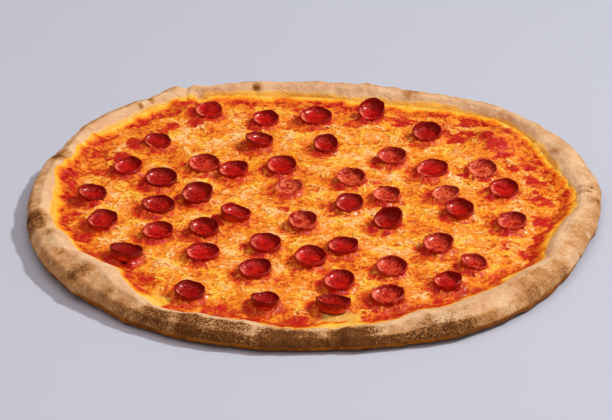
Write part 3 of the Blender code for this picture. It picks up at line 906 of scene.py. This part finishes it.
# Slices that baked darker (above 0) or stayed paler and oilier (below), by number.
BAKED = {
    37: 1.0, 45: 0.8, 47: 0.8, 16: 0.6, 48: 0.6, 24: 0.5, 5: 0.5, 19: 0.5, 20: 0.5, 6: 0.4, 8: 0.4, 32: 0.4,
    7: 0.3, 28: 0.3, 29: 0.3, 25: 0.3, 1: 0.2, 4: 0.2, 26: 0.2, 35: 0.2, 41: 0.2,
    10: -0.3, 40: -0.3, 13: -0.4, 33: -0.4, 36: -0.4, 42: -0.4, 46: -0.4, 31: -0.6, 21: -0.6, 18: -0.7,
    15: -0.8, 22: -0.8, 17: -1.0,
}


def pepperoni():
    made, meat = blank("pepperoni")
    lip, inside, foot, baked = (meat.attribute(key) for key in ("lip", "inside", "foot", "baked"))
    marble = meat.mottle(1.5 * MM, 2.0, 0.8)
    wide = meat.mottle(6 * MM, 2.0, 0.3, 0.6)
    colour = (wide.eased(0.35, 0.65)).blend((0.30, 0.001, 0.001), (0.60, 0.005, 0.002))
    colour = (baked * 0.75).blend(colour, (0.19, 0.001, 0.001))
    fatty = (0 - baked) * (marble + (wide - 0.5) * 0.5).eased(0.44, 0.58)
    colour = (fatty * 0.8).blend(colour, (0.88, 0.22, 0.075))
    # Painted highlight and painted shade: the inner wall facing the lamp is painted pale pink, and the wall
    # across from it and the depths of the bowl are painted dark maroon.
    dried = meat.attribute("dried")
    pale = (dried - baked * 0.2 + (marble - 0.5) * 1.8 + (wide - 0.5) * 1.0).eased(0.40, 0.9)
    colour = (pale * 0.75).blend(colour, (0.88, 0.22, 0.12))
    colour = ((inside * 0.3 - dried).eased(0.1, 1.1) * 0.85).blend(colour, (0.20, 0.001, 0.001))
    colour = (marble.eased(0.56, 0.68) * 0.35).blend(colour, (0.80, 0.09, 0.030))
    colour = ((foot + (marble - 0.5) * 1.2 + (wide - 0.5) * 1.2).eased(0.35, 0.9) * 0.85).blend(
        colour, (0.72, 0.055, 0.005)
    )
    crisp = lip * (wide - dried * 0.15 + baked * 0.15).eased(0.42, 0.62)
    colour = (crisp * 0.75).blend(colour, (0.12, 0.002, 0.002))
    rough = 0.30 + (marble - 0.5) * 0.3
    wet = wide.eased(0.42, 0.58) * (0.6 - lip * 0.4)
    return finish(
        made, colour, rough, marble, 0.9 * MM, wet,
        Specular_IOR_Level=0.30, Specular_Tint=(1.0, 0.5, 0.4, 1.0), Coat_Roughness=0.20
    )


def slice_rings(node):
    """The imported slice's five rings: inside, inner lip, outer lip, belly and foot, as arrays of points."""
    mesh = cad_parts[node].data
    corners = np.unique(np.round([tuple(v.co) for v in mesh.vertices], 6), axis=0)
    low, high = corners.min(axis=0), corners.max(axis=0)
    middle = (low + high) / 2
    away = corners[:, :2] - middle[:2]
    radius = np.hypot(*away.T)
    corners, away, radius = (a[radius > 3 * MM] for a in (corners, away, radius))
    turn = np.arctan2(away[:, 1], away[:, 0])
    column = np.round(turn / math.tau * SLICE_SOLID_SIDES).astype(int) % SLICE_SOLID_SIDES
    rings = []
    for side in range(SLICE_SOLID_SIDES):
        mine = sorted(np.flatnonzero(column == side), key=lambda i: corners[i, 2])
        foot, *low, _, _ = mine
        inside, belly = sorted(low, key=lambda i: radius[i])
        lip_in, lip_out = sorted(mine[-2:], key=lambda i: radius[i])
        rings.append(corners[[inside, lip_in, lip_out, belly, foot]])
    return np.array(rings)


def bezier(start, pull, end, shares):
    return [(1 - t) ** 2 * start + 2 * t * (1 - t) * pull + t * t * end for t in shares]


def curl_slices():
    points, faces = [], []
    attributes = {part: [] for part in (*SLICE_PARTS, "baked")}
    names = sorted(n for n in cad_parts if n.startswith("pepperoni"))
    for number, name in enumerate(names):
        rings = rounded(slice_rings(name), SLICE_SIDES)
        inside, lip_in, lip_out, belly, foot = (rings[:, k] for k in range(5))
        turn = math.tau * np.arange(SLICE_SIDES) / SLICE_SIDES
        about = np.column_stack([np.cos(turn), np.sin(turn), np.full(SLICE_SIDES, number * 3.7)])
        sway = grain(about, 0.9, 2)
        flute = grain(about, 0.28, 1, 4.0)
        middle_in, middle_out = inside.mean(axis=0), foot.mean(axis=0)
        out = np.column_stack([np.cos(turn), np.sin(turn), turn * 0])
        push = (0.75 * sway + 0.38 * flute)[:, None] * MM * out
        drop = FRONT_DROP * np.clip(-np.sin(turn), 0, 1)
        lift = (0.80 * sway * MM - 0.35 * flute * MM - drop)[:, None] * (0, 0, 1)
        lip_in, lip_out = lip_in + push + lift, lip_out + push + lift
        belly = belly + push * 0.5
        lip_in = lip_in + LIP_THINNED * (lip_out - lip_in)
        crown = (lip_in + lip_out) / 2 + (0, 0, 0.35 * MM)
        centre = np.broadcast_to(middle_in, inside.shape)
        bowl = bezier(centre, inside + (inside - centre) * 0.12, lip_in, np.linspace(0.12, 1, 9))
        roll = bezier(lip_in, crown, lip_out, (0.25, 0.5, 0.75, 1.0))
        wall = bezier(lip_out, belly + (belly - foot) * (0.5, 0.5, 0), foot, np.linspace(0.17, 1, 6))
        middle_out = middle_out - (0, 0, SLICE_SUNK)
        sunk = foot * 0.97 + middle_out * 0.03 - (0, 0, SLICE_SUNK)
        under = [sunk, sunk * 0.55 + middle_out * 0.45]
        rows = [*bowl, *roll, *wall, *under]
        base = len(points)
        points.append(middle_in)
        for row in rows:
            points.extend(row)
        points.append(middle_out)
        for part, (first, *shares, end) in SLICE_PARTS.items():
            # The wall value runs from +1, painted pale as a highlight, to -1, painted in shade.
            side = -np.cos(turn - SHADED_WALL_SIDE) if part == "dried" else np.ones(SLICE_SIDES)
            attributes[part] += [first, *np.outer(shares, side).ravel(), end]
        attributes["baked"] += [BAKED.get(number + 1, 0.0)] * (len(points) - base)
        last = len(points) - 1
        for here in range(SLICE_SIDES):
            there = (here + 1) % SLICE_SIDES
            faces.append((base, base + 1 + here, base + 1 + there))
            for row in range(len(rows) - 1):
                a = base + 1 + row * SLICE_SIDES
                b = a + SLICE_SIDES
                faces.append((a + here, b + here, b + there, a + there))
            end = base + 1 + (len(rows) - 1) * SLICE_SIDES
            faces.append((last, end + there, end + here))
    made = skin("pepperoni_slices", np.array(points), faces, attributes, pepperoni())
    return made, names


slices, slice_names = curl_slices()
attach(slices, "root")
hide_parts(*slice_names)


# The studio: a plain pale table, a warm fill from all round, a soft box overhead and one lamp on the
# right, small enough to throw a fairly crisp shadow. The camera looks down 27 degrees through a long lens.

TABLE_COLOUR = (0.472, 0.496, 0.575)
TABLE_HALF = 5.0
WARM = (1.0, 0.89, 0.865)
ROOM = 0.43                 # strength of the light that comes from all round

# Name, direction round the table and height above it in degrees, distance, shape, width, power, colour.
LAMPS = (
    ("lamp", 8, 49, 4.0, "DISK", 0.36, 131.0, (0.94, 0.98, 0.98)),
    ("softbox", -100, 76, 2.2, "SQUARE", 2.4, 21.0, WARM),
)
CAMERA_DROP = math.radians(27)
CAMERA_AWAY = 2.6
CAMERA_AIM = (-6.4 * MM, -3.2 * MM)     # right of and above a point in the middle of the pie
AIM_HEIGHT = 9 * MM
LENS = 192.4


def studio():
    scene = bpy.context.scene
    scene.view_settings.view_transform = "Standard"

    pale, floor = blank("pale_table")
    shader = pale.node_tree.nodes["Principled BSDF"]
    shader.inputs["Base Color"].default_value = (*TABLE_COLOUR, 1)
    rough = floor.mottle(0.3) * 0.1 + 0.5
    pale.node_tree.links.new(rough.socket, shader.inputs["Roughness"])
    mesh = bpy.data.meshes.new("table")
    corners = [(x * TABLE_HALF, y * TABLE_HALF, 0) for x, y in ((-1, -1), (1, -1), (1, 1), (-1, 1))]
    mesh.from_pydata(corners, [], [(0, 1, 2, 3)])
    mesh.materials.append(pale)
    table = bpy.data.objects.new("table", mesh)
    scene.collection.objects.link(table)

    world = bpy.data.worlds.new("fill")
    world.use_nodes = True
    world.node_tree.nodes["Background"].inputs["Color"].default_value = (*WARM, 1)
    world.node_tree.nodes["Background"].inputs["Strength"].default_value = ROOM
    world.cycles_visibility.glossy = False
    scene.world = world

    for name, turn, rise, away, shape, size, energy, colour in LAMPS:
        lamp = bpy.data.lights.new(name, "AREA")
        lamp.shape, lamp.size, lamp.energy, lamp.color = shape, size, energy, colour
        turn, rise = math.radians(turn), math.radians(rise)
        towards = direction(turn) * math.cos(rise) + Vector((0, 0, math.sin(rise)))
        held = bpy.data.objects.new(name, lamp)
        held.location = towards * away
        held.rotation_mode = "QUATERNION"
        held.rotation_quaternion = towards.to_track_quat("Z", "Y")
        held.visible_glossy = name == "lamp"
        scene.collection.objects.link(held)

    lens = bpy.data.cameras.new("camera")
    lens.sensor_width, lens.lens = 36, LENS
    back = Vector((0, -math.cos(CAMERA_DROP), math.sin(CAMERA_DROP)))
    up = Vector((0, math.sin(CAMERA_DROP), math.cos(CAMERA_DROP)))
    right = Vector((1, 0, 0))
    aim = Vector((0, 0, AIM_HEIGHT)) + right * CAMERA_AIM[0] + up * CAMERA_AIM[1]
    camera = bpy.data.objects.new("camera", lens)
    turned = Matrix((right, up, back)).transposed().to_4x4()
    camera.matrix_world = Matrix.Translation(aim + back * CAMERA_AWAY) @ turned
    scene.collection.objects.link(camera)
    scene.camera = camera


studio()
